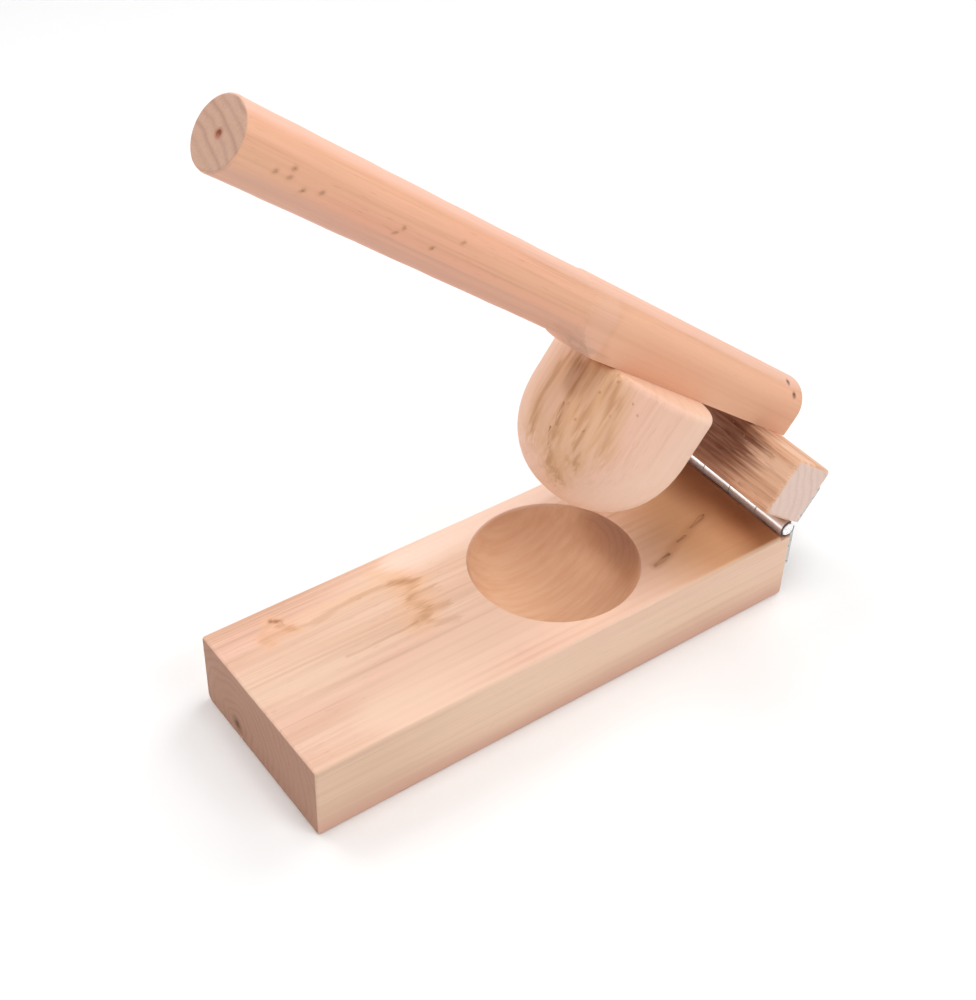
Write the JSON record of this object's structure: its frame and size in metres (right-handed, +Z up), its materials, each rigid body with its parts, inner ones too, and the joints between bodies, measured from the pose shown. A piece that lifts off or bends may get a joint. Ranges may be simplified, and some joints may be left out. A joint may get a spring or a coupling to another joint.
{
  "type": "wooden lever press for dough cups",
  "caption": "Wooden lever press for dough: a board with a round bowl, a hinged handle and a domed plunger that dips into the bowl when the handle is pressed down.",
  "frame": {"origin": "centre of the board's bottom face", "axes": "+X along the board to the hinge, +Y across it, +Z up; the lever is stored raised, as it stands between two pressings"},
  "size_m": [0.2859, 0.09, 0.296],
  "materials": {
    "board_wood": "sanded, unfinished",
    "crossbar_wood": "sanded, unfinished",
    "handle_wood": "turned and sanded, satin",
    "plunger_wood": "turned and sanded, satin",
    "dowel_wood": "plain",
    "hinge_steel": "satin nickel plated",
    "screw_steel": "nickel plated"
  },
  "bodies": {
    "base": {"base_board": "board_wood", "hinge_base_leaf": "hinge_steel", "hinge_pin": "hinge_steel", "base_leaf_screw_1": "screw_steel", "base_leaf_screw_2": "screw_steel", "base_leaf_screw_3": "screw_steel"},
    "lever": {"crossbar": "crossbar_wood", "handle": "handle_wood", "plunger": "plunger_wood", "hinge_lever_leaf": "hinge_steel", "lever_leaf_screw_1": "screw_steel", "lever_leaf_screw_2": "screw_steel", "lever_leaf_screw_3": "screw_steel", "plunger_dowel_front": "dowel_wood", "plunger_dowel_rear": "dowel_wood", "crossbar_dowel_left": "dowel_wood", "crossbar_dowel_right": "dowel_wood"}
  },
  "joints": [
    {"name": "lever_hinge", "type": "hinge", "parent": "base", "child": "lever", "pos_m": [0.122, 0, 0.0391], "axis": [0, 1, 0], "range_deg": [-37.2, 52.8]}
  ]
}
